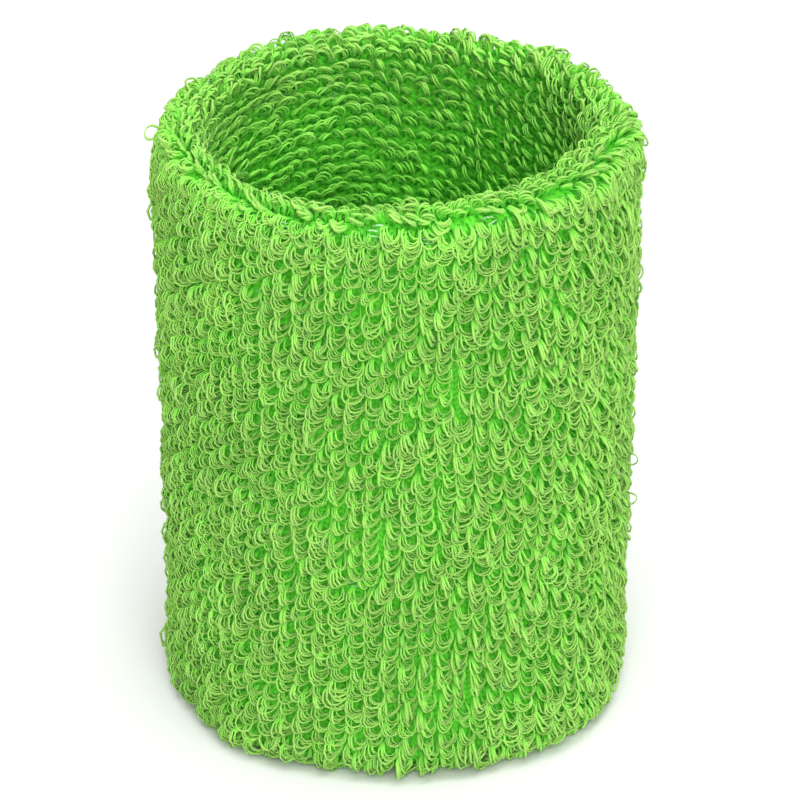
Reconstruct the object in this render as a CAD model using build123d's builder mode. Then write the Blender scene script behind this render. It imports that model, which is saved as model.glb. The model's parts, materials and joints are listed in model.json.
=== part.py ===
from build123d import *
import os

# A terry sweat wristband that stands on one of its folded rims. It is a knitted tube, turned in on
# itself so that the wall is double, with loop pile on both faces that show. The tube's two raw ends
# meet on the inner layer and are sewn together there, out of sight.
#
# Millimetres, +Z along the bore. The origin is on the bore's axis, level with the bottom rim.

os.makedirs("parts", exist_ok=True)

# ---------------------------------------------------------------- driving dimensions
band_height = 80.0
outer_radius = 31.5
pile_height = 2.2  # the loops, from the cloth to their tips
cloth_thickness = 0.7  # the knitted ground that holds the loops
wall_gap = 1.0  # between the two layers of the doubled tube
rim_rounding = 2.9  # of the wall's corners, at the two folded rims

elastic_diameter = 0.4  # covered rubber thread, laid in behind every other course or so
elastic_sides = 8  # of its section, which keeps so many rings light
elastic_pitch = 3.2
elastic_clearance = 0.05  # between a thread and the cloth that it lies against
first_outer_elastic = 4.0
first_inner_elastic = 5.6

seam_height = 12.0  # where the tube's raw ends meet on the inner layer
seam_slit = 0.3
lip_width = 0.7  # the raw ends, turned in to the gap
lip_depth = 0.45
stitch_thread = 0.25
chain_thread = 0.3
stitch_clearance = 0.04
stitch_count = 60

# ---------------------------------------------------------------- worked out from them
wall = 2 * (pile_height + cloth_thickness) + wall_gap
bore_radius = outer_radius - wall
wall_radius = outer_radius - wall / 2  # the middle of the wall
cloth_span = 2 * cloth_thickness + wall_gap  # both layers of cloth and the gap
cloth_height = band_height - 2 * pile_height
gap_height = cloth_height - 2 * cloth_thickness
gap_inner = wall_radius - wall_gap / 2
gap_outer = wall_radius + wall_gap / 2
fold_height = pile_height + cloth_span / 2  # how much of each end the fold takes up
straight_height = band_height - 2 * fold_height

elastic_radius = elastic_diameter / 2
outer_elastic_path = gap_outer - elastic_clearance - elastic_radius
inner_elastic_path = gap_inner + elastic_clearance + elastic_radius

lip_centre = seam_slit / 2 + lip_width / 2  # above and below the slit
stitch_side = seam_slit / 2 + lip_width + stitch_clearance + stitch_thread / 2
stitch_top = gap_inner + lip_depth + stitch_clearance + stitch_thread / 2
chain_path = stitch_top + stitch_thread / 2
stitch_foot = gap_inner + stitch_clearance
seam_reach = stitch_side + stitch_thread / 2 + elastic_clearance + elastic_radius


def elastic_heights(first):
    """The heights of the elastic courses from the first one up, without those at the seam."""
    top = band_height - fold_height - elastic_diameter
    courses = int((top - first) / elastic_pitch) + 1
    heights = [first + n * elastic_pitch for n in range(courses)]
    return [z for z in heights if abs(z - seam_height) > seam_reach]


# ---------------------------------------------------------------- pile on the two walls
with BuildPart() as outer_pile:
    with BuildSketch(Plane.XZ):
        with Locations((outer_radius - pile_height / 2, band_height / 2)):
            Rectangle(pile_height, straight_height)
    revolve(axis=Axis.Z)
outer_pile.part.label = "outer_pile"

with BuildPart() as inner_pile:
    with BuildSketch(Plane.XZ):
        with Locations((bore_radius + pile_height / 2, band_height / 2)):
            Rectangle(pile_height, straight_height)
    revolve(axis=Axis.Z)
inner_pile.part.label = "inner_pile"

# ---------------------------------------------------------------- pile over the two folded rims
with BuildPart() as top_fold_pile:
    with BuildSketch(Plane.XZ):
        with Locations((wall_radius, band_height / 2)):
            RectangleRounded(wall, band_height, rim_rounding)
            SlotOverall(cloth_height, cloth_span, rotation=90, mode=Mode.SUBTRACT)
        with Locations((wall_radius, band_height - fold_height / 2)):
            Rectangle(wall, fold_height, mode=Mode.INTERSECT)
    revolve(axis=Axis.Z)
top_fold_pile.part.label = "top_fold_pile"

with BuildPart() as bottom_fold_pile:
    with BuildSketch(Plane.XZ):
        with Locations((wall_radius, band_height / 2)):
            RectangleRounded(wall, band_height, rim_rounding)
            SlotOverall(cloth_height, cloth_span, rotation=90, mode=Mode.SUBTRACT)
        with Locations((wall_radius, fold_height / 2)):
            Rectangle(wall, fold_height, mode=Mode.INTERSECT)
    revolve(axis=Axis.Z)
bottom_fold_pile.part.label = "bottom_fold_pile"

# ---------------------------------------------------------------- the knitted tube, folded double
with BuildPart() as ground_cloth:
    with BuildSketch(Plane.XZ):
        with Locations((wall_radius, band_height / 2)):
            SlotOverall(cloth_height, cloth_span, rotation=90)
            SlotOverall(gap_height, wall_gap, rotation=90, mode=Mode.SUBTRACT)
        with Locations((gap_inner + lip_depth / 2, seam_height)):
            with Locations((0, lip_centre), (0, -lip_centre)):
                Rectangle(lip_depth, lip_width)
        with Locations((gap_inner, seam_height)):
            Rectangle(2 * cloth_span, seam_slit, align=(Align.MAX, Align.CENTER), mode=Mode.SUBTRACT)
    revolve(axis=Axis.Z)
ground_cloth.part.label = "ground_cloth"

# ---------------------------------------------------------------- elastic laid in behind the cloth
with BuildPart() as outer_elastic_threads:
    with BuildSketch(Plane.XZ):
        with Locations([(outer_elastic_path, z) for z in elastic_heights(first_outer_elastic)]):
            RegularPolygon(elastic_radius, elastic_sides)
    revolve(axis=Axis.Z)
outer_elastic_threads.part.label = "outer_elastic_threads"

with BuildPart() as inner_elastic_threads:
    with BuildSketch(Plane.XZ):
        with Locations([(inner_elastic_path, z) for z in elastic_heights(first_inner_elastic)]):
            RegularPolygon(elastic_radius, elastic_sides)
    revolve(axis=Axis.Z)
inner_elastic_threads.part.label = "inner_elastic_threads"

# ---------------------------------------------------------------- thread that closes the tube
# Stitches lie over the two turned-in ends, and a chain runs round on top of them and links them.
with BuildPart() as closing_seam_thread:
    with BuildSketch(Plane.XZ):
        with Locations((chain_path, seam_height)):
            Circle(chain_thread / 2)
    revolve(axis=Axis.Z)
    with PolarLocations(0, stitch_count):
        with Locations((stitch_top, 0, seam_height)):
            Box(stitch_thread, stitch_thread, 2 * stitch_side + stitch_thread)
        with Locations(
            (stitch_foot, 0, seam_height - stitch_side),
            (stitch_foot, 0, seam_height + stitch_side),
        ):
            Box(
                stitch_top - stitch_foot,
                stitch_thread,
                stitch_thread,
                align=(Align.MIN, Align.CENTER, Align.CENTER),
            )
closing_seam_thread.part.label = "closing_seam_thread"

# ---------------------------------------------------------------- one file for each piece
export_step(outer_pile.part, "parts/outer_pile.step")
export_step(inner_pile.part, "parts/inner_pile.step")
export_step(top_fold_pile.part, "parts/top_fold_pile.step")
export_step(bottom_fold_pile.part, "parts/bottom_fold_pile.step")
export_step(ground_cloth.part, "parts/ground_cloth.step")
export_step(outer_elastic_threads.part, "parts/outer_elastic_threads.step")
export_step(inner_elastic_threads.part, "parts/inner_elastic_threads.step")
export_step(closing_seam_thread.part, "parts/closing_seam_thread.step")
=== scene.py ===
import json
import math

import bmesh
import bpy
import numpy as np
from bpy.props import FloatProperty, FloatVectorProperty, IntProperty, PointerProperty
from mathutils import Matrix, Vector


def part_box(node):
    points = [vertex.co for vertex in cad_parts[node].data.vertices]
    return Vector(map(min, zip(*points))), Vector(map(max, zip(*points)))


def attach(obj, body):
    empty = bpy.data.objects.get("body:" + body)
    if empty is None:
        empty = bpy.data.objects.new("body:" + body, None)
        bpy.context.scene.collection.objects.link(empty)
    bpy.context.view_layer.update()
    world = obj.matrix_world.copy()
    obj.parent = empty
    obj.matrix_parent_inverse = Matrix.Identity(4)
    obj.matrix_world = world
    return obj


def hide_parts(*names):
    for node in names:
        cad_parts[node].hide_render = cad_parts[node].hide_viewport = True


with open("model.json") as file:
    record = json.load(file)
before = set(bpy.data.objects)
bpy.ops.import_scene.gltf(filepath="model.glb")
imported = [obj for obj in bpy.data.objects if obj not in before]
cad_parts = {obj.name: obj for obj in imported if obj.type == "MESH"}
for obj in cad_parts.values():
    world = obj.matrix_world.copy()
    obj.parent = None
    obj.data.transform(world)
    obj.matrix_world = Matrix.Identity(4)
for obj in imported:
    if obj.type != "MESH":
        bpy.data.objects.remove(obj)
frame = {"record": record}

bl_info = {
    "name": "Terry Wristband",
    "version": (1, 0, 0),
    "blender": (4, 5, 0),
    "location": "View3D > Sidebar > Wristband",
    "description": "Knits a terry sweat wristband loop by loop round its packed frame",
    "category": "Object",
}

MM = 0.001
FULL_TURN = 2 * math.pi
BODY = "root"
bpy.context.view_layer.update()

# ---------------------------------------------------------------- places that the frame gives
MOUTH = next(m for m in frame["record"]["mounts"] if m["name"] == "wrist_bore")
BORE_RADIUS = MOUTH["dims"]["r_mm"] * MM
OUTER_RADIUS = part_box("outer_pile")[1][0]
BAND_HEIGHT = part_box("top_fold_pile")[1][2]
CLOTH_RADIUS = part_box("ground_cloth")[1][0]
CLOTH_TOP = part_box("ground_cloth")[1][2]
WALL_RADIUS = (OUTER_RADIUS + BORE_RADIUS) / 2
FOLD_RADIUS = CLOTH_RADIUS - WALL_RADIUS
HIGH_FOLD = CLOTH_TOP - FOLD_RADIUS
LOW_FOLD = BAND_HEIGHT - HIGH_FOLD

# The cloth's pile face is one closed path: up the inner wall, over the top fold, down the outer
# wall and round the bottom fold.
LEG = HIGH_FOLD - LOW_FOLD
FOLD = math.pi * FOLD_RADIUS
INNER_END = LEG
TOP_END = INNER_END + FOLD
OUTER_END = TOP_END + LEG
PATH = OUTER_END + FOLD


# ---------------------------------------------------------------- sizes and colours
class BandSettings(bpy.types.PropertyGroup):
    """The knitted tube, and how far it is from a true round."""

    wales: IntProperty(name="Wales", description="Columns of loops round the band", default=83)
    course: FloatProperty(
        name="Course", description="Height of one row of loops", default=1.62 * MM, unit="LENGTH"
    )
    fold_courses: IntProperty(
        name="Courses on a fold",
        description="Rows of loops over the top rim; the bottom one has two fewer",
        default=9,
    )
    taper: FloatProperty(
        name="Taper",
        description="How much smaller the radius is at the bottom than at the top",
        default=0.55 * MM,
        unit="LENGTH",
    )
    sway: FloatProperty(
        name="Sway",
        description="How far the wall stands in and out of a true round",
        default=0.3 * MM,
        unit="LENGTH",
    )
    seed: IntProperty(name="Seed", description="Start of all the uneven draws", default=7)


class PileSettings(bpy.types.PropertyGroup):
    """The loops of pile yarn."""

    thread: FloatProperty(
        name="Thread", description="Diameter of one strand", default=0.265 * MM, unit="LENGTH"
    )
    bend: FloatProperty(
        name="Bend",
        description="Radius of the round end of a loop's largest strand",
        default=1.22 * MM,
        unit="LENGTH",
    )
    reach: FloatProperty(
        name="Reach",
        description="From the cloth to the tip of a loop's largest strand",
        default=3.3 * MM,
        unit="LENGTH",
    )
    nesting: FloatProperty(
        name="Nesting",
        description="How much shorter each next strand of a loop is",
        default=0.18 * MM,
        unit="LENGTH",
    )
    fan: FloatProperty(
        name="Fan",
        description="How far beside the last one each next strand of a loop lies",
        default=0.22 * MM,
        unit="LENGTH",
    )
    root_lean: FloatProperty(
        name="Lean at the root",
        description="Angle from square to the cloth where a loop starts",
        default=math.radians(20),
        subtype="ANGLE",
    )
    tip_lean: FloatProperty(
        name="Lean at the tip",
        description="Angle from square to the cloth where a loop ends",
        default=math.radians(92),
        subtype="ANGLE",
    )


class YarnSettings(bpy.types.PropertyGroup):
    """Colours of the yarns. The loop roots' deeper green is painted shade, and the ground's green
    is the dye deepened with painted shade.
    """

    tip: FloatVectorProperty(
        name="Loop tips",
        description="Dyed pile yarn at the tips of the loops",
        subtype="COLOR",
        size=3,
        default=(0.37, 0.70, 0.135),
    )
    # painted shade: the roots carry the same dye as the tips; this deeper, more saturated green
    # stands for yarn near the cloth and down the bore that light reaches only after bouncing
    # between the loops
    root: FloatVectorProperty(
        name="Loop roots",
        description="Dyed pile yarn next to the cloth",
        subtype="COLOR",
        size=3,
        default=(0.22, 0.94, 0.065),
    )
    # partly the dye and partly painted shade: the ground's green is made deep and saturated for the
    # pockets between the loops
    ground: FloatVectorProperty(
        name="Ground",
        description="Knitted cloth between the loops",
        subtype="COLOR",
        size=3,
        default=(0.15, 0.79, 0.045),
    )


# ---------------------------------------------------------------- the band's shape
def uneven(rng, around, along, turns, rise, waves=8):
    """A smooth uneven field of about -1 to 1, closed round the band. turns is the least and the
    most waves in a turn, and rise the shortest wave along the path."""
    total = np.zeros(np.broadcast(around, along).shape)
    for _ in range(waves):
        count = rng.integers(turns[0], turns[1] + 1) * rng.choice((-1, 1))
        rate = rng.uniform(-1, 1) * FULL_TURN / rise
        total += np.sin(count * around + rate * along + rng.uniform(0, FULL_TURN))
    return total / math.sqrt(waves / 2) / 1.5


def fold_share(s):
    """Which part of the path each s is on, and how far into it."""
    s = np.asarray(s, float) % PATH
    part = np.searchsorted([INNER_END, TOP_END, OUTER_END], s, side="right")
    return part, s - np.array([0, INNER_END, TOP_END, OUTER_END])[part]


def on_cloth(s):
    """The pile face at s: its radius and height, and its outward normal as radial and upward."""
    part, into = fold_share(s)
    angle = np.choose(part, [math.pi, math.pi - into / FOLD_RADIUS, 0, -into / FOLD_RADIUS])
    outward, upward = np.cos(angle), np.sin(angle)
    radius = WALL_RADIUS + FOLD_RADIUS * outward
    height = np.choose(
        part,
        [
            LOW_FOLD + into,
            HIGH_FOLD + FOLD_RADIUS * upward,
            HIGH_FOLD - into,
            LOW_FOLD + FOLD_RADIUS * upward,
        ],
    )
    return radius, height, outward, upward


def along_cloth(s, forward, up, steps=6):
    """Where a yarn ends on the path that starts at s and lies forward at a height of up: over a
    fold, the same yarn passes less cloth."""
    for step in range(steps):
        part, _ = fold_share(s)
        folded = (part % 2) / FOLD_RADIUS
        s = s + forward / steps / (1 + folded * np.maximum(up, 0) * (step + 0.5) / steps)
    return s


# How this band has settled from the true round one that the frame gives.
FOOT_CORNERS = 0.3 * MM  # the bottom rim is a little four-cornered,
FOOT_SPREAD = 0.4 * MM  # spreads where it stands,
FOOT_BULGE = 1.0 * MM  # and bulges at the front
FLAT_SIDE = 0.6 * MM  # the left side is flattened
RIM_WAVE = 0.35 * MM  # the top rim goes up and down,
RIM_RISE = 0.15 * MM  # stands higher all round,
FAR_RISE = 0.3 * MM  # more so on the far side,
ROLL_RISE = 1.6 * MM  # and most of all at its right front,
ROLL_IN = 1.5 * MM  # where it is rolled inwards
FLOOR_GAP = 0.02 * MM


def toward(around, degrees, spread):
    """1 on the side of the band at this many degrees, and less away from it."""
    return np.exp((np.cos(around - math.radians(degrees)) - 1) / spread)


def level(height, centre, depth):
    """1 at this height, and less above and below it."""
    return np.exp(-(((height - centre) / depth) ** 2))


def settle(co):
    """Moves points of the true round band to the slightly uneven one, which stands on the floor."""
    band = bpy.context.scene.wristband_band
    rng = np.random.default_rng(band.seed)
    around, height = np.arctan2(co[:, 1], co[:, 0]), co[:, 2]
    share = height / BAND_HEIGHT
    out = -band.taper * (1 - share)
    out += band.sway * uneven(rng, around, height, (2, 4), 2 * BAND_HEIGHT, 4)
    out += 0.5 * band.sway * uneven(rng, around, height, (4, 9), BAND_HEIGHT, 5)
    corners = np.cos(4 * (around - math.radians(45)))
    out += FOOT_CORNERS * corners * np.clip(1 - 2 * share, 0, 1)
    out += FOOT_SPREAD * level(height, 0, 7 * MM)
    flat = np.clip(np.cos(around - math.radians(185)), 0, 1) ** 2
    out -= FLAT_SIDE * flat * np.clip(2 * share, 0, 1)
    rise = RIM_WAVE * uneven(rng, around, 0 * around, (2, 6), BAND_HEIGHT, 5)
    rolled = toward(around, 300, 0.35)
    rise += FAR_RISE * (1 + np.sin(around)) + RIM_RISE + ROLL_RISE * rolled
    inside = np.clip((WALL_RADIUS + MM - np.hypot(co[:, 0], co[:, 1])) / (3 * MM), 0, 1)
    out += FOOT_BULGE * toward(around, 278, 0.2) * level(height, 0, 9 * MM)
    out -= ROLL_IN * rolled * inside * level(height, BAND_HEIGHT, 9 * MM)
    co[:, 2] += rise * share
    co[:, 0] += out * np.cos(around)
    co[:, 1] += out * np.sin(around)
    np.maximum(co[:, 2], FLOOR_GAP, out=co[:, 2])
    return co


def at(radius, around, height):
    """Points from their radius, angle and height."""
    radius, around, height = np.broadcast_arrays(radius, around, height)
    return np.stack([radius * np.cos(around), radius * np.sin(around), height], -1)


# ---------------------------------------------------------------- modelling
STRAND_SIDES = 3
SECTION_SIDES = 5  # of the elastic and of the sewing thread
SECTION_GAIN = 1.15  # a three-sided strand is drawn larger, to look as thick as a round one


def start_clean():
    """Object mode, with nothing selected."""
    if bpy.context.mode != "OBJECT":
        bpy.ops.object.mode_set(mode="OBJECT")
    bpy.ops.object.select_all(action="DESELECT")


def start_section(sides, radius, place=(0, 0, 0), turn=(0, 0, 0), filled=True):
    """The section of a thread at its place, in edit mode, with all of it selected."""
    start_clean()
    bpy.ops.mesh.primitive_circle_add(
        vertices=sides,
        radius=radius,
        fill_type="NGON" if filled else "NOTHING",
        location=place,
        rotation=turn,
    )
    bpy.ops.object.transform_apply(location=True, rotation=True, scale=True)
    bpy.ops.object.mode_set(mode="EDIT")
    bpy.ops.mesh.select_all(action="SELECT")


def draw_on(step):
    """Draws the selected end on by a step."""
    bpy.ops.mesh.extrude_region_move(TRANSFORM_OT_translate={"value": step})


def spin_round(steps, axis, gap):
    """Spins the selection once round an axis through the origin, and joins its ends."""
    bpy.ops.mesh.spin(steps=steps, angle=FULL_TURN, center=(0, 0, 0), axis=axis)
    bpy.ops.mesh.select_all(action="SELECT")
    bpy.ops.mesh.remove_doubles(threshold=gap)


def pick(near, within):
    """Selects only the faces of the mesh in edit mode whose centre lies within a distance."""
    bpy.ops.mesh.select_mode(type="FACE")
    mesh = bmesh.from_edit_mesh(bpy.context.object.data)
    for face in mesh.faces:
        face.select_set((face.calc_center_median() - near).length < within)
    bmesh.update_edit_mesh(bpy.context.object.data)


def take_shape():
    """Turns the faces outwards and takes the object out of edit mode and away. Returns its points,
    its faces' corners as one run, and how many corners each face has."""
    bpy.ops.mesh.select_all(action="SELECT")
    bpy.ops.mesh.normals_make_consistent(inside=False)
    bpy.ops.object.mode_set(mode="OBJECT")
    made = bpy.context.object
    mesh = made.data
    bpy.data.objects.remove(made)
    co = np.zeros(len(mesh.vertices) * 3)
    mesh.vertices.foreach_get("co", co)
    corners = np.zeros(len(mesh.loops), np.int32)
    mesh.loops.foreach_get("vertex_index", corners)
    counts = np.zeros(len(mesh.polygons), np.int32)
    mesh.polygons.foreach_get("loop_total", counts)
    bpy.data.meshes.remove(mesh)
    return co.reshape(-1, 3), corners, counts


def spin_strand(thread, bend, reach, foot, steps, below):
    """One strand of a loop in the XZ plane, its feet at z = 0: a section of the thread is spun into
    the round end, and both ends are drawn down to the cloth. Returns its shape."""
    centre = reach - bend
    side, drop = bend * math.cos(below), centre - bend * math.sin(below)
    start_section(STRAND_SIDES, thread / 2 * SECTION_GAIN, (side, 0, drop), (0, below, 0))
    bpy.ops.mesh.spin(
        steps=steps, angle=math.pi + 2 * below, center=(0, 0, centre), axis=(0, 1, 0)
    )
    for hand in (1, -1):
        end = Vector((hand * side, 0, drop))
        pick(end, thread / 4)
        draw_on(Vector((hand * foot, 0, 0)) - end)
    bpy.ops.mesh.select_all(action="SELECT")
    bpy.ops.mesh.remove_doubles(threshold=thread / 50)
    return take_shape()


def join_copies(name, batches, values):
    """One mesh of many copies. Each batch is (points of its copies, corners, counts), and values
    holds, for each attribute's name, one array for each batch."""
    points, corners, counts, offset = [], [], [], 0
    for co, face_corners, face_counts in batches:
        number, size = co.shape[:2]
        first = offset + np.arange(number)[:, None] * size
        points.append(co.reshape(-1, 3))
        corners.append((face_corners[None, :] + first).ravel())
        counts.append(np.tile(face_counts, number))
        offset += number * size
    points, corners, counts = (np.concatenate(part) for part in (points, corners, counts))
    starts = np.concatenate([[0], np.cumsum(counts)[:-1]])
    mesh = bpy.data.meshes.new(name)
    mesh.vertices.add(len(points))
    mesh.vertices.foreach_set("co", settle(points).ravel())
    mesh.loops.add(len(corners))
    mesh.loops.foreach_set("vertex_index", corners.astype(np.int32))
    mesh.polygons.add(len(counts))
    mesh.polygons.foreach_set("loop_start", starts.astype(np.int32))
    mesh.polygons.foreach_set("loop_total", counts.astype(np.int32))
    mesh.polygons.foreach_set("use_smooth", np.ones(len(counts), bool))
    mesh.update(calc_edges=True)
    mesh.validate()
    for key, arrays in values.items():
        run = np.concatenate([array.ravel() for array in arrays])
        layer = mesh.attributes.new(key, "FLOAT", "POINT")
        layer.data.foreach_set("value", run.astype(np.float32))
    return mesh


def place_piece(mesh, node, material):
    """The finished piece, riding on the band and standing for its node."""
    piece = bpy.data.objects.new(mesh.name, mesh)
    bpy.context.scene.collection.objects.link(piece)
    mesh.materials.append(material)
    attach(piece, BODY)
    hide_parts(node)
    return piece


# ---------------------------------------------------------------- where the pile lies open
SHOULDER = TOP_END - 0.2 * MM
SHOULDER_SPOTS = ((250, 335, 10), (215, 262, 3), (20, 200, 6))  # from and to in degrees, how many
WALL_SPOTS = 16
SPOT_BESIDE = 0.75 * MM  # a loop rooted this near beside a spot,
SPOT_BEFORE = (0.3 * MM, 1.2 * MM)  # and this far before it on the path, would lie over it


def thin_spots():
    """The places where the pile lies open and the pale ground yarn shows, as angles and places on
    the path: mostly along the outer shoulder of the top rim, the others down the outer wall."""
    rng = np.random.default_rng(bpy.context.scene.wristband_band.seed + 40)
    around = [rng.uniform(*stretch) for stretch in SHOULDER_SPOTS]
    s = [SHOULDER + rng.normal(0, 0.35 * MM, number) for _, _, number in SHOULDER_SPOTS]
    around.append(rng.uniform(0, 360, WALL_SPOTS))
    s.append(rng.uniform(TOP_END + 4 * MM, OUTER_END - 6 * MM, WALL_SPOTS))
    return np.radians(np.concatenate(around)), np.concatenate(s)


def covers_spot(around, s):
    """True for each loop that would lie over a thin spot."""
    spot_around, spot_s = thin_spots()
    beside = (around[:, None] - spot_around[None] + math.pi) % FULL_TURN - math.pi
    before = spot_s[None] - s[:, None]
    near = np.abs(beside) * CLOTH_RADIUS < SPOT_BESIDE
    return (near & (before > SPOT_BEFORE[0]) & (before < SPOT_BEFORE[1])).any(1)


# ---------------------------------------------------------------- how the pile lies
CREST_END = 0.54  # how much of the top fold the standing loops take up, from its inner edge
CREST_LEAN = math.radians(95)  # how much less than the others they lie down

# How far the loops stray: in patches, from loop to loop, and from strand to strand of a loop.
STRAY_TWIST = [math.radians(degrees) for degrees in (13, 17, 10)]
STRAY_LEAN = [math.radians(degrees) for degrees in (6, 7, 4)]
STRAY_SWAY = (0.15 * MM, 0.3 * MM, 0.12 * MM)
STRAY_SIZE = (0.06, 0.09, 0.07)
STRAY_SHADE = (0.8, 1.0, 0.6)
STRAY_ROOT = (0.13, 0.10)  # of a wale and of a course
STRAY_CREST = 0.07 * FOLD
STRAY_DEPTH = 0.11 * MM
STRAY_FAN = 0.05 * MM

STRAND_STEPS = (7, 6, 6, 5, 5)  # of the round ends of a loop's strands, the largest first


def over_fold(s):
    """From 0 on the walls to 1 at the middle of a folded rim."""
    part, into = fold_share(s)
    return (part % 2) * np.sin(np.clip(into / FOLD, 0, 1) * math.pi) ** 0.5


def on_crest(s):
    """How much a loop stands up: 1 along the inner half of the top rim, and 0 away from it."""
    part, into = fold_share(s)
    arch = np.sin(np.clip(into / (CREST_END * FOLD), 0, 1) * math.pi)
    return (part == 1) * np.clip(1.3 * arch, 0, 1)


def bare(s):
    """How openly the light reaches the pile: 1 outside, and 0 deep down the bore."""
    part, into = fold_share(s)
    bore = 0.75 * (into / LEG) ** 5
    crest = 0.75 + 0.5 * np.minimum(into / FOLD, 0.5)
    return np.choose(part, [bore, crest, 1.0, 1 - into / FOLD])


def lie_of_loops(around, s):
    """How far the yarn's twist has turned each loop from square to the cloth, and how much more or
    less than usual it lies down. Both change slowly round the band."""
    outside = np.clip((s % PATH - INNER_END) / FOLD, 0, 1)
    outside = np.where(s % PATH > OUTER_END, 1 - (s % PATH - OUTER_END) / FOLD, outside)
    outer_twist = math.radians(31) * (1 + np.cos(around - math.radians(185)))
    inner_twist = math.radians(22) * (1 + np.cos(around - math.radians(15)))
    twist = -(outside * outer_twist + (1 - outside) * inner_twist) * (1 - 0.45 * over_fold(s))
    on_inner_wall = fold_share(s)[0] == 0
    lean = math.radians(8) * over_fold(s) - math.radians(12) * on_inner_wall
    return twist, lean


def knit_pile(name, node, courses, strands, seed):
    """A piece of pile: one loop for each course and wale, each a bundle of nested strands."""
    scene = bpy.context.scene
    band, pile = scene.wristband_band, scene.wristband_pile
    rng = np.random.default_rng(band.seed * 1000 + seed)
    s, wale = (a.ravel() for a in np.meshgrid(courses, np.arange(band.wales), indexing="ij"))
    step = FULL_TURN / band.wales
    around = (wale + rng.normal(0, STRAY_ROOT[0], s.shape)) * step
    s = s + rng.normal(0, STRAY_ROOT[1], s.shape) * band.course
    clear = ~covers_spot(around, s)
    around, s = around[clear], s[clear]
    loops = len(s)
    room = (on_cloth(s)[0] / CLOTH_RADIUS) ** 1.6  # loops have less of it on the inner wall

    field = np.random.default_rng(band.seed + 100)
    lean_patch = uneven(field, around, s, (3, 14), 12 * MM)
    twist_patch = uneven(field, around, s, (3, 12), 14 * MM)
    sway_patch = uneven(field, around, s, (4, 18), 8 * MM)
    size_patch = uneven(field, around, s, (5, 16), 10 * MM)
    shade_patch = uneven(field, around, s, (2, 10), 20 * MM)

    def draw(spread):
        return rng.normal(0, 1, loops) * spread

    twist, lean = lie_of_loops(around, s)
    twist = twist + STRAY_TWIST[0] * twist_patch
    twist = twist + draw(STRAY_TWIST[1]) * (1 - 0.5 * over_fold(s))
    # no clean parting: each loop has its own place where it stops standing up
    upright = on_crest(s + draw(STRAY_CREST))
    lean = lean - CREST_LEAN * upright + STRAY_LEAN[0] * lean_patch + draw(STRAY_LEAN[1])
    sway = STRAY_SWAY[0] * sway_patch + draw(STRAY_SWAY[1])
    inner_wall = fold_share(s)[0] == 0
    size = (1 + STRAY_SIZE[0] * size_patch + draw(STRAY_SIZE[1])) * room**0.6
    size = size * np.where(inner_wall, 0.93, 1)
    size = size * (1 - 0.12 * over_fold(s) - 0.18 * upright)
    shade = draw(STRAY_SHADE[1])

    batches, values = [], {"pile_height": [], "yarn_shade": []}
    for k in range(math.ceil(strands)):
        share = k / 4
        bend = pile.bend * (1 - 0.3 * share)
        reach = pile.reach - k * pile.nesting
        co, corners, counts = spin_strand(
            pile.thread, bend, reach, 0.5 * bend, STRAND_STEPS[k], math.radians(15)
        )
        kept = rng.random(loops) < strands - k
        own = size * (1 + draw(STRAY_SIZE[2]))
        # the strand in its own plane: x across, y from root to tip and z off the plane
        x = co[None, :, 0] * (own * room**0.4)[:, None]
        y = co[None, :, 2] * own[:, None]
        part = np.clip(y / pile.reach, 0, 1)
        z = co[None, :, 1] - STRAY_DEPTH * k * part + draw(STRAY_DEPTH)[:, None] * part
        turn = (twist + draw(STRAY_TWIST[2]))[:, None] * part**0.6
        x, z = x * np.cos(turn) - z * np.sin(turn), x * np.sin(turn) + z * np.cos(turn)
        fan = pile.fan * (1 + 0.25 * over_fold(s)) + draw(STRAY_FAN)
        x = x + (k - 1.5) * fan[:, None] * part**0.8
        x = x + (sway + draw(STRAY_SWAY[2]))[:, None] * part**1.4
        # bent over evenly from its lean at the root to its lean at the tip
        root = pile.root_lean
        rate = ((pile.tip_lean - root + lean + draw(STRAY_LEAN[2])) / pile.reach)[:, None]
        angle = root + rate * y
        up = (np.sin(angle) - math.sin(root)) / rate + z * np.sin(angle)
        forward = (math.cos(root) - np.cos(angle)) / rate - z * np.cos(angle)
        up = up - 0.1 * MM  # the feet start inside the cloth
        points = on_band(around[:, None], s[:, None], x, forward, up)
        batches.append((points[kept], corners, counts))
        # painted shade: the share of the roots' deeper green grows toward the roots and, by how
        # little light reaches them, down the bore
        values["pile_height"].append((part * (0.3 + 0.7 * bare(s)[:, None]))[kept])
        own_shade = shade + STRAY_SHADE[0] * shade_patch + draw(STRAY_SHADE[2])
        values["yarn_shade"].append(np.broadcast_to(own_shade[:, None], part.shape)[kept])
    mesh = join_copies(name, batches, values)
    return place_piece(mesh, node, terry_yarn())


def on_band(around, s, x, forward, up):
    """Points near the cloth: beside, along and out from each place on the path."""
    radius, height, outward, upward = on_cloth(along_cloth(s, forward, up))
    radius = radius + up * outward
    return at(radius, around + x / radius, height + up * upward)


def rows(start, end, pitch):
    """The middles of the courses between two places on the path."""
    number = max(1, round((end - start) / pitch))
    return start + (np.arange(number) + 0.5) * (end - start) / number


# ---------------------------------------------------------------- pile
OUTER_STRANDS = 4.9  # of a loop; the part after the point is the share of loops with one more
INNER_STRANDS = (2.4, 2.4, 3.0, 4.5, 4.7)  # from the bottom tier, which is hidden, to the top
TOP_STRANDS = 4.6
BOTTOM_STRANDS = 3.5


class WRISTBAND_OT_outer_loops(bpy.types.Operator):
    """Loops down the outer wall"""

    bl_idname = "wristband.outer_loops"
    bl_label = "Outer Loops"

    def execute(self, context):
        courses = rows(TOP_END, OUTER_END, context.scene.wristband_band.course)
        for tier, group in enumerate(np.array_split(courses, 6)):
            knit_pile(f"outer_loops_{tier + 1}", "outer_pile", group, OUTER_STRANDS, tier)
        return {"FINISHED"}


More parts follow.
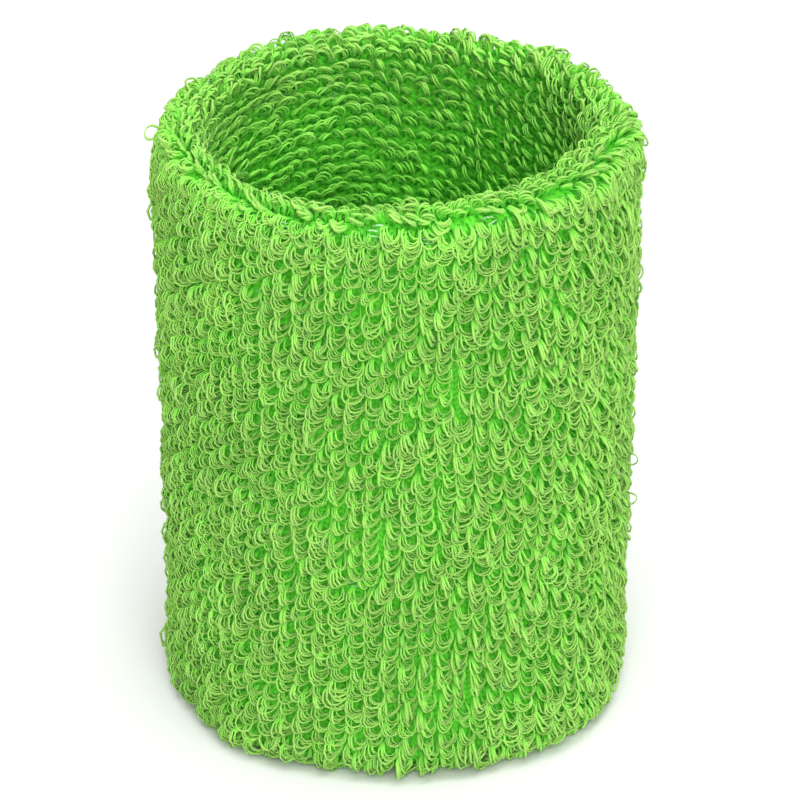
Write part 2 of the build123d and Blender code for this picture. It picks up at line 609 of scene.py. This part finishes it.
class WRISTBAND_OT_inner_loops(bpy.types.Operator):
    """Loops up the inner wall"""

    bl_idname = "wristband.inner_loops"
    bl_label = "Inner Loops"

    def execute(self, context):
        courses = rows(0, INNER_END, context.scene.wristband_band.course)
        groups = np.array_split(courses, len(INNER_STRANDS))
        for tier, (group, strands) in enumerate(zip(groups, INNER_STRANDS)):
            knit_pile(f"inner_loops_{tier + 1}", "inner_pile", group, strands, 10 + tier)
        return {"FINISHED"}


class WRISTBAND_OT_rim_loops(bpy.types.Operator):
    """Loops over both folded rims"""

    bl_idname = "wristband.rim_loops"
    bl_label = "Rim Loops"

    def execute(self, context):
        band = context.scene.wristband_band
        top = rows(INNER_END, TOP_END, FOLD / band.fold_courses)
        bottom = rows(OUTER_END, PATH, FOLD / (band.fold_courses - 2))
        knit_pile("top_rim_loops", "top_fold_pile", top, TOP_STRANDS, 20)
        knit_pile("bottom_rim_loops", "bottom_fold_pile", bottom, BOTTOM_STRANDS, 21)
        return {"FINISHED"}


HAIRS = 5200
HAIR_RADIUS = 0.018 * MM
HAIR_STEPS = 2
HAIR_TAPER = 0.7  # at each step
STRAYS = 46


def spin_hair():
    """One hair, 1 mm long, that tapers as it goes up."""
    start_section(STRAND_SIDES, HAIR_RADIUS)
    for _ in range(HAIR_STEPS):
        draw_on((0, 0, MM / HAIR_STEPS))
        bpy.ops.transform.resize(value=(HAIR_TAPER, HAIR_TAPER, 1))
    return take_shape()


class WRISTBAND_OT_loose_fibres(bpy.types.Operator):
    """Fine hairs on the yarn, and a few loops that have been pulled out"""

    bl_idname = "wristband.loose_fibres"
    bl_label = "Loose Fibres"

    def execute(self, context):
        band, pile = context.scene.wristband_band, context.scene.wristband_pile
        rng = np.random.default_rng(band.seed + 70)

        def spread(low, high, number):
            return rng.uniform(low, high, number)[:, None]

        co, corners, counts = spin_hair()
        share = rng.random(HAIRS)
        outer = rng.uniform(TOP_END, OUTER_END, HAIRS)
        top = rng.uniform(INNER_END - 5 * MM, TOP_END, HAIRS)
        bottom = rng.uniform(OUTER_END, PATH, HAIRS)
        s = np.where(share < 0.42, outer, np.where(share < 0.87, top, bottom))[:, None]
        around = spread(0, FULL_TURN, HAIRS)
        length = spread(0.9, 2.6, HAIRS)
        lean = spread(0.1, 1.4, HAIRS)
        heading = spread(0, FULL_TURN, HAIRS)
        curl = rng.normal(0, 0.8, HAIRS)[:, None]
        along = co[None, :, 2] * length
        bent = heading + curl * along / MM
        reach = along * np.sin(lean)
        x = reach * np.cos(bent) + co[None, :, 0]
        forward = reach * np.sin(bent) + co[None, :, 1]
        up = spread(1.3, 1.9, HAIRS) * MM + along * np.cos(lean) * 0.6
        hairs = on_band(around, s, x, forward, up)

        co, loop_corners, loop_counts = spin_strand(
            pile.thread * 0.8, 1.1 * MM, 4.6 * MM, 0.3 * MM, 8, math.radians(20)
        )
        s = spread(INNER_END, PATH, STRAYS)
        around = spread(0, FULL_TURN, STRAYS)
        size = spread(0.65, 1.0, STRAYS)
        turn = spread(0, math.pi, STRAYS)
        lean = spread(0.2, 1.3, STRAYS)
        wide, tall = co[None, :, 0] * size, co[None, :, 2] * size
        x = wide * np.cos(turn) + 0.3 * tall * np.sin(turn * 5)
        up = tall * np.cos(lean) + wide * np.sin(turn) * np.sin(lean)
        forward = tall * np.sin(lean) - wide * np.sin(turn) * np.cos(lean) + co[None, :, 1]
        strays = on_band(around, s, x, forward, up)

        batches = [(hairs, corners, counts), (strays, loop_corners, loop_counts)]
        values = {
            "pile_height": [np.full(hairs.shape[:2], 0.9), np.full(strays.shape[:2], 0.8)],
            "yarn_shade": [np.ones(hairs.shape[:2]), np.zeros(strays.shape[:2])],
        }
        mesh = join_copies("loose_fibres", batches, values)
        place_piece(mesh, "outer_pile", terry_yarn())
        return {"FINISHED"}


FLOATS = 3  # strands of ground yarn that show at a thin spot
FLOAT_GAP = 0.45 * MM  # from one to the next


class WRISTBAND_OT_ground_floats(bpy.types.Operator):
    """Pale ground yarn that shows where the pile lies open"""

    bl_idname = "wristband.ground_floats"
    bl_label = "Ground Yarn Floats"

    def execute(self, context):
        rng = np.random.default_rng(context.scene.wristband_band.seed + 90)
        co, corners, counts = spin_strand(0.22 * MM, 0.6 * MM, 1.0 * MM, 0.7 * MM, 6, 0)
        spots, places = thin_spots()
        number = len(spots) * FLOATS
        around = np.repeat(spots, FLOATS) + rng.normal(0, 0.25 * MM / CLOTH_RADIUS, number)
        s = np.repeat(places, FLOATS) + np.tile([-FLOAT_GAP, 0, FLOAT_GAP], len(spots))
        forward = co[None, :, 1] + rng.normal(0, 0.2, (number, 1)) * co[None, :, 0]
        x, up = co[None, :, 0] * 1.15, co[None, :, 2] * 0.75
        points = on_band(around[:, None], s[:, None], x, forward, up)
        mesh = join_copies("ground_yarn_floats", [(points, corners, counts)], {})
        place_piece(mesh, "ground_cloth", pale_yarn())
        return {"FINISHED"}


# ---------------------------------------------------------------- materials
def new_material(name):
    """A material of this name, its node tree and its shader."""
    material = bpy.data.materials.new(name)
    material.use_nodes = True
    tree = material.node_tree
    return material, tree, tree.nodes["Principled BSDF"]


def add_node(tree, kind, **inputs):
    """A new node. Each input, named with _ for a space, is another node's output or a number."""
    node = tree.nodes.new("ShaderNode" + kind)
    for name, value in inputs.items():
        socket = node.inputs[name.replace("_", " ")]
        if isinstance(value, bpy.types.NodeSocket):
            tree.links.new(value, socket)
        else:
            socket.default_value = value
    return node


def calculate(tree, operation, first, second=None):
    """A math node's output. Its inputs are outputs of other nodes or numbers."""
    node = tree.nodes.new("ShaderNodeMath")
    node.operation = operation
    for slot, value in enumerate((first, second)):
        if isinstance(value, (int, float)):
            node.inputs[slot].default_value = value
        elif value is not None:
            tree.links.new(value, node.inputs[slot])
    return node.outputs["Value"]


def map_range(tree, value, low, high, start=0, end=1):
    """The value, taken from between start and end to between low and high."""
    node = add_node(
        tree, "MapRange", Value=value, From_Min=start, From_Max=end, To_Min=low, To_Max=high
    )
    return node.outputs["Result"]


def attribute(tree, name):
    """The value of a named attribute of the mesh."""
    node = tree.nodes.new("ShaderNodeAttribute")
    node.attribute_name = name
    return node.outputs["Fac"]


def fibre_noise(tree, scale, detail):
    """Noise at a scale per metre, fixed to the piece."""
    place = tree.nodes.new("ShaderNodeTexCoord").outputs["Object"]
    return add_node(tree, "TexNoise", Vector=place, Scale=scale, Detail=detail).outputs["Fac"]


def split_place(tree):
    """X, Y and Z of a point on the piece."""
    place = tree.nodes.new("ShaderNodeTexCoord").outputs["Object"]
    return add_node(tree, "SeparateXYZ", Vector=place).outputs


def colour_between(tree, value, first, last):
    """A colour that goes from the first stop's to the last one's. A stop is (place, colour)."""
    ramp = add_node(tree, "ValToRGB", Fac=value)
    for element, (place, colour) in zip(ramp.color_ramp.elements, (first, last)):
        element.position = place
        element.color = (*colour, 1)
    return ramp.outputs["Color"]


def finish_surface(tree, shader, colour, height, roughness, bump, specular):
    """Links the colour, and lets the height drive the roughness, from and to, and the bump, which
    is (strength, distance)."""
    relief = add_node(tree, "Bump", Height=height, Strength=bump[0], Distance=bump[1])
    tree.links.new(colour, shader.inputs["Base Color"])
    tree.links.new(map_range(tree, height, *roughness), shader.inputs["Roughness"])
    tree.links.new(relief.outputs["Normal"], shader.inputs["Normal"])
    shader.inputs["Specular IOR Level"].default_value = specular


def terry_yarn():
    """Spun cotton pile yarn in lime dye: matt and a little furry, with painted shade: a deeper
    green near the cloth and down the bore, where light reaches the yarn only after bouncing between
    loops.
    """
    if "terry_yarn" in bpy.data.materials:
        return bpy.data.materials["terry_yarn"]
    yarn = bpy.context.scene.wristband_yarn
    material, tree, shader = new_material("terry_yarn")
    height = attribute(tree, "pile_height")
    # painted shade: from the roots' deeper green, low on the loops and deep in the bore, to the lit
    # tips' lime
    dye_and_depth_shade = colour_between(tree, height, (0.1, yarn.root), (0.8, yarn.tip))
    fibre = fibre_noise(tree, 6000, 3)
    shade = map_range(tree, attribute(tree, "yarn_shade"), 0.84, 1.16, -3, 3)
    value = calculate(tree, "MULTIPLY", shade, map_range(tree, fibre, 0.9, 1.1))
    colour = add_node(tree, "HueSaturation", Color=dye_and_depth_shade, Value=value).outputs["Color"]
    finish_surface(tree, shader, colour, fibre, (0.75, 0.95), (0.4, 0.03 * MM), 0.12)
    shader.inputs["Sheen Weight"].default_value = 0.08
    shader.inputs["Sheen Roughness"].default_value = 0.5
    return material


PALE_PATCH = (0.30, 0.62, 0.28)


def ground_knit():
    """The knitted ground: columns of slanting stitches in the green of the loops, with painted
    shade, a darker green, in the grooves between them, and patches where the undyed ground yarn
    comes through."""
    scene = bpy.context.scene
    yarn, band = scene.wristband_yarn, scene.wristband_band
    material, tree, shader = new_material("ground_knit")

    def math_node(operation, first, second=None):
        return calculate(tree, operation, first, second)

    place = split_place(tree)
    turn = math_node("ARCTAN2", place["Y"], place["X"])
    wale = math_node("MULTIPLY", turn, band.wales / FULL_TURN)
    across = math_node("ABSOLUTE", math_node("SUBTRACT", math_node("FRACT", wale), 0.5))
    climb = math_node("MULTIPLY", place["Z"], 2 / band.course)
    slant = math_node("ADD", climb, math_node("MULTIPLY", across, -1.6))
    leg = math_node("SINE", math_node("MULTIPLY", slant, FULL_TURN))
    groove = math_node("SINE", math_node("MULTIPLY", across, FULL_TURN))
    raised = math_node("ADD", math_node("MULTIPLY", leg, 0.3), math_node("MULTIPLY", groove, 0.6))
    fibre = fibre_noise(tree, 5000, 4)
    height = math_node("ADD", raised, math_node("MULTIPLY", fibre, 0.5))

    # painted shade: the grooves between the stitch columns are coloured at 0.6 of the ground's
    # brightness
    painted_groove_shade = [0.6 * value for value in yarn.ground]
    pale = tree.nodes.new("ShaderNodeMix")
    pale.data_type = "RGBA"
    factor, first, second = (pale.inputs[slot] for slot in (0, 6, 7))  # the colour mix's sockets
    second.default_value = (*PALE_PATCH, 1)
    patch = map_range(tree, fibre_noise(tree, 420, 2), 0, 1, 0.69, 0.78)
    green = colour_between(tree, height, (0.05, painted_groove_shade), (0.95, yarn.ground))
    tree.links.new(patch, factor)
    tree.links.new(green, first)
    colour = pale.outputs[2]
    finish_surface(tree, shader, colour, height, (0.95, 0.78), (0.8, 0.15 * MM), 0.1)
    return material


def spun(name, dark, light, roughness, turns):
    """A material of spun fibres between two colours, with the given turns of yarn wrapped or
    twisted round the band's circle. The fibre noise varies the colour at random, and the dark
    colour in the grooves of the wrap is painted shade."""
    if name in bpy.data.materials:
        return bpy.data.materials[name]
    material, tree, shader = new_material(name)
    place = split_place(tree)
    angle = calculate(tree, "ARCTAN2", place["Y"], place["X"])
    slant = calculate(tree, "MULTIPLY", place["Z"], 1 / (0.1 * MM))
    twisted = calculate(tree, "ADD", calculate(tree, "MULTIPLY", angle, turns), slant)
    wrap = calculate(tree, "MULTIPLY", calculate(tree, "SINE", twisted), 0.2)
    height = calculate(tree, "ADD", wrap, fibre_noise(tree, 4500, 4))
    # partly random fibre tone and partly painted shade: lower in the grooves of the wrap, the
    # colour goes toward the dark one
    colour = colour_between(tree, height, (0.2, dark), (0.8, light))
    worn = (roughness + 0.12, roughness - 0.08)
    finish_surface(tree, shader, colour, height, worn, (0.5, 0.04 * MM), 0.2)
    return material


def pale_yarn():
    """Undyed ground yarn, which takes a little of the green round it."""
    return spun("pale_yarn", (0.26, 0.62, 0.22), (0.52, 0.84, 0.46), 0.8, 300)


def elastic_cover():
    """Off-white yarn wrapped round a rubber thread."""
    return spun("elastic_cover", (0.55, 0.60, 0.47), (0.86, 0.88, 0.80), 0.7, 800)


def sewing_thread():
    """Spun polyester thread, green."""
    return spun("sewing_thread", (0.20, 0.48, 0.07), (0.38, 0.68, 0.17), 0.5, 1100)


# ---------------------------------------------------------------- cloth, elastic and seam
CLOTH_THICKNESS = 0.7 * MM
LIP = 0.8 * MM  # how far the tube's raw ends are turned in at the seam
LIP_PLACE = 0.5 * MM  # of each raw end, above and below the seam's middle
FOLD_STEPS = 10
CLOTH_STEPS = 123
WELD = 0.01 * MM
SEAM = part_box("closing_seam_thread")
SEAM_HEIGHT = (SEAM[0][2] + SEAM[1][2]) / 2

ELASTIC_RADIUS = 0.2 * MM
ELASTIC_PLACE = 0.25 * MM  # in and out from the middle of the wall
ELASTIC_PITCH = 3.2 * MM
SEAM_CLEARANCE = 1.2 * MM


def first_point(place):
    """A new mesh of one point, in edit mode."""
    start_clean()
    bpy.ops.mesh.primitive_plane_add(size=MM, location=(0, 0, 0))
    bpy.ops.object.mode_set(mode="EDIT")
    bpy.ops.mesh.select_mode(type="VERT")
    bpy.ops.mesh.select_all(action="SELECT")
    bpy.ops.mesh.merge(type="CENTER")
    bpy.ops.transform.translate(value=place)


def fold_over(height):
    """Spins the selected end of the line half round, from one wall to the other."""
    bpy.ops.mesh.spin(
        steps=FOLD_STEPS, angle=math.pi, center=(WALL_RADIUS, 0, height), axis=(0, -1, 0)
    )


def divide_edges(longest, cuts):
    """Divides the edges that are longer than this."""
    bpy.ops.mesh.select_all(action="DESELECT")
    bpy.ops.mesh.select_mode(type="EDGE")
    mesh = bmesh.from_edit_mesh(bpy.context.object.data)
    for edge in mesh.edges:
        edge.select_set(edge.calc_length() > longest)
    bmesh.update_edit_mesh(bpy.context.object.data)
    bpy.ops.mesh.subdivide(number_cuts=cuts)


def move_points(mesh, change):
    """Puts all the points of a mesh through a change."""
    co = np.zeros(len(mesh.vertices) * 3)
    mesh.vertices.foreach_get("co", co)
    mesh.vertices.foreach_set("co", change(co.reshape(-1, 3)).ravel())
    mesh.update()


class WRISTBAND_OT_ground_cloth(bpy.types.Operator):
    """The knitted tube, folded double, with its raw ends turned in at the seam"""

    bl_idname = "wristband.ground_cloth"
    bl_label = "Ground Cloth"

    def execute(self, context):
        inner = WALL_RADIUS - (FOLD_RADIUS - CLOTH_THICKNESS / 2)
        lip_low, lip_high = SEAM_HEIGHT - LIP_PLACE, SEAM_HEIGHT + LIP_PLACE
        first_point((inner + LIP, 0, lip_high))
        draw_on((-LIP, 0, 0))
        draw_on((0, 0, HIGH_FOLD - lip_high))
        fold_over(HIGH_FOLD)
        draw_on((0, 0, -LEG))
        fold_over(LOW_FOLD)
        draw_on((0, 0, lip_low - LOW_FOLD))
        draw_on((LIP, 0, 0))
        divide_edges(20 * MM, 47)
        divide_edges(5 * MM, 6)
        bpy.ops.mesh.select_all(action="SELECT")
        spin_round(CLOTH_STEPS, (0, 0, 1), WELD)
        bpy.ops.mesh.normals_make_consistent(inside=False)
        bpy.ops.mesh.faces_shade_smooth()
        bpy.ops.object.mode_set(mode="OBJECT")
        cloth = context.object
        cloth.name = cloth.data.name = "ground_cloth_sheet"
        solid = cloth.modifiers.new("thickness", "SOLIDIFY")
        solid.thickness = CLOTH_THICKNESS
        solid.offset = 0
        bpy.ops.object.modifier_apply(modifier=solid.name)
        bpy.ops.object.transform_apply(location=True, rotation=True, scale=True)
        move_points(cloth.data, settle)
        cloth.data.materials.append(ground_knit())
        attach(cloth, BODY)
        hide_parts("ground_cloth")
        return {"FINISHED"}


def elastic_heights(node):
    """The heights of the elastic courses behind one layer of the cloth, but for the seam's."""
    low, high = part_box(node)[0][2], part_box(node)[1][2]
    number = round((high - low) / ELASTIC_PITCH) + 1
    heights = low + ELASTIC_RADIUS + ELASTIC_PITCH * np.arange(number)
    return [z for z in heights if abs(z - SEAM_HEIGHT) > SEAM_CLEARANCE and z < high]


class WRISTBAND_OT_elastic(bpy.types.Operator):
    """The covered rubber threads laid in behind both layers of the cloth"""

    bl_idname = "wristband.elastic"
    bl_label = "Elastic"

    def execute(self, context):
        for node, side in (("outer_elastic_threads", 1), ("inner_elastic_threads", -1)):
            place = (WALL_RADIUS + side * ELASTIC_PLACE, 0, 0)
            start_section(SECTION_SIDES, ELASTIC_RADIUS, place, (math.pi / 2, 0, 0), filled=False)
            spin_round(90, (0, 0, 1), WELD)
            co, corners, counts = take_shape()
            rings = co[None] + np.array([[0, 0, z] for z in elastic_heights(node)])[:, None, :]
            name = node.replace("threads", "courses")
            mesh = join_copies(name, [(rings, corners, counts)], {})
            place_piece(mesh, node, elastic_cover())
        return {"FINISHED"}


STITCHES = 60
STITCH_THREAD = 0.125 * MM
STITCH_REACH = 1.0 * MM  # over each raw end
STITCH_SLANT = 0.12
STITCH_FOOT = SEAM[1][0] - 0.85 * MM
STITCH_CREST = SEAM[1][0] - 0.3 * MM
LINK_RADIUS = 0.24 * MM
LINK_LENGTH = FULL_TURN * STITCH_CREST / STITCHES
LINK_OVERLAP = 0.62  # half of a link, as a share of the way from one to the next


def draw_stitch():
    """One stitch, up over one raw end and down behind the other."""
    quarter = (0, math.pi / 2, 0)
    start_section(SECTION_SIDES, STITCH_THREAD, (STITCH_FOOT, 0, -STITCH_REACH), quarter)
    rise, corner = STITCH_CREST - STITCH_FOOT, 0.3 * MM
    draw_on((rise * 0.7, 0, 0))
    draw_on((rise * 0.3, 0, corner))
    draw_on((0, 0, 2 * STITCH_REACH - 2 * corner))
    draw_on((-rise * 0.3, 0, corner))
    draw_on((-rise * 0.7, 0, 0))
    return take_shape()


def draw_link():
    """One link of the chain, a ring drawn long."""
    quarter = (0, math.pi / 2, 0)
    start_section(SECTION_SIDES, STITCH_THREAD * 0.8, (0, 0, LINK_RADIUS), quarter, filled=False)
    spin_round(10, (0, 1, 0), WELD / 2)
    bpy.ops.transform.resize(value=(LINK_LENGTH * LINK_OVERLAP / LINK_RADIUS, 1, 1))
    return take_shape()


class WRISTBAND_OT_seam(bpy.types.Operator):
    """The seam that closes the tube: stitches over its two lips and a chain along them"""

    bl_idname = "wristband.seam"
    bl_label = "Closing Seam"

    def execute(self, context):
        turns = (np.arange(STITCHES) * FULL_TURN / STITCHES)[:, None]
        co, corners, counts = draw_stitch()
        x, y, z = co.T[:, None]
        slant = STITCH_SLANT * LINK_LENGTH / STITCH_CREST * z / STITCH_REACH
        stitches = at(x, turns + y / x + slant, SEAM_HEIGHT + z), corners, counts
        co, corners, counts = draw_link()
        x, y, z = co.T[:, None]
        # each link dives under the next one
        radius = STITCH_CREST + 0.1 * MM + y + 0.08 * MM * x / LINK_LENGTH
        links = at(radius, turns + x / STITCH_CREST, SEAM_HEIGHT + z), corners, counts
        mesh = join_copies("closing_seam_stitches", [stitches, links], {})
        place_piece(mesh, "closing_seam_thread", sewing_thread())
        return {"FINISHED"}


# ---------------------------------------------------------------- stage
MIDDLE = Vector((0, 0, BAND_HEIGHT / 2))
CAMERA_DISTANCE = 0.600
CAMERA_RISE = math.radians(28.6)
CAMERA_LENS = 206.5
RENDER_SIDE = 800
RENDER_SHIFT = (3, -2.6)  # of the band from the middle of the view


def softbox(name, azimuth, elevation, distance, size, power):
    """A square soft light that faces the band. azimuth is measured from the camera's side."""
    turn, rise = math.radians(azimuth - 90), math.radians(elevation)
    place = MIDDLE + distance * Vector(
        (math.cos(rise) * math.cos(turn), math.cos(rise) * math.sin(turn), math.sin(rise))
    )
    bpy.ops.object.light_add(type="AREA", location=place)
    lamp = bpy.context.object
    lamp.name = name
    lamp.data.shape = "SQUARE"
    lamp.data.size = size
    lamp.data.energy = power
    lamp.rotation_euler = (MIDDLE - place).to_track_quat("-Z", "Y").to_euler()


def lay_floor():
    """A large pale floor."""
    start_clean()
    bpy.ops.mesh.primitive_plane_add(size=8, location=(0, 0, 0))
    floor = bpy.context.object
    floor.name = "floor"
    material, _, shader = new_material("floor_white")
    shader.inputs["Base Color"].default_value = (0.92, 0.92, 0.92, 1)
    shader.inputs["Roughness"].default_value = 0.9
    shader.inputs["Specular IOR Level"].default_value = 0.1
    floor.data.materials.append(material)


def light_room(scene):
    """White light from all round, weaker from both sides and more so from the left."""
    scene.world = bpy.data.worlds.new("studio")
    scene.world.use_nodes = True
    tree = scene.world.node_tree
    background = tree.nodes["Background"]
    background.inputs["Color"].default_value = (1, 1, 1, 1)
    direction = tree.nodes.new("ShaderNodeTexCoord").outputs["Generated"]
    across = add_node(tree, "SeparateXYZ", Vector=direction).outputs["X"]
    side = calculate(tree, "ABSOLUTE", calculate(tree, "ADD", across, -0.25))
    tree.links.new(map_range(tree, side, 0.7, 0.1, 0.2, 0.9), background.inputs["Strength"])
    softbox("key_softbox", 4, 35, 1.0, 0.6, 5.6)
    softbox("top_softbox", 0, 85, 1.0, 0.8, 8)


class WRISTBAND_OT_stage(bpy.types.Operator):
    """Pale floor, soft studio light and the camera"""

    bl_idname = "wristband.stage"
    bl_label = "Stage"

    def execute(self, context):
        scene = context.scene
        lay_floor()
        light_room(scene)
        camera_data = bpy.data.cameras.new("camera")
        camera = bpy.data.objects.new("camera", camera_data)
        scene.collection.objects.link(camera)
        sight = Vector((0, -math.cos(CAMERA_RISE), math.sin(CAMERA_RISE)))
        camera.location = MIDDLE + CAMERA_DISTANCE * sight
        camera.rotation_euler = (MIDDLE - camera.location).to_track_quat("-Z", "Y").to_euler()
        camera_data.sensor_width = 36
        camera_data.lens = CAMERA_LENS
        camera_data.shift_x, camera_data.shift_y = (shift / RENDER_SIDE for shift in RENDER_SHIFT)
        camera_data.clip_start = 0.01
        scene.camera = camera
        scene.view_settings.view_transform = "Standard"
        return {"FINISHED"}


class WRISTBAND_PT_panel(bpy.types.Panel):
    """The steps that make the wristband"""

    bl_idname = "WRISTBAND_PT_panel"
    bl_label = "Wristband"
    bl_space_type = "VIEW_3D"
    bl_region_type = "UI"
    bl_category = "Wristband"

    def draw(self, context):
        for operator in OPERATORS:
            self.layout.operator(operator.bl_idname)


OPERATORS = (
    WRISTBAND_OT_outer_loops,
    WRISTBAND_OT_inner_loops,
    WRISTBAND_OT_rim_loops,
    WRISTBAND_OT_ground_cloth,
    WRISTBAND_OT_elastic,
    WRISTBAND_OT_seam,
    WRISTBAND_OT_ground_floats,
    WRISTBAND_OT_loose_fibres,
    WRISTBAND_OT_stage,
)
CLASSES = (BandSettings, PileSettings, YarnSettings, *OPERATORS, WRISTBAND_PT_panel)


def register():
    for cls in CLASSES:
        bpy.utils.register_class(cls)
    bpy.types.Scene.wristband_band = PointerProperty(type=BandSettings)
    bpy.types.Scene.wristband_pile = PointerProperty(type=PileSettings)
    bpy.types.Scene.wristband_yarn = PointerProperty(type=YarnSettings)


def unregister():
    del bpy.types.Scene.wristband_yarn
    del bpy.types.Scene.wristband_pile
    del bpy.types.Scene.wristband_band
    for cls in reversed(CLASSES):
        bpy.utils.unregister_class(cls)


def main():
    register()
    bpy.ops.wristband.outer_loops()
    bpy.ops.wristband.inner_loops()
    bpy.ops.wristband.rim_loops()
    bpy.ops.wristband.ground_cloth()
    bpy.ops.wristband.elastic()
    bpy.ops.wristband.seam()
    bpy.ops.wristband.ground_floats()
    bpy.ops.wristband.loose_fibres()
    bpy.ops.wristband.stage()


if __name__ == "__main__":
    main()
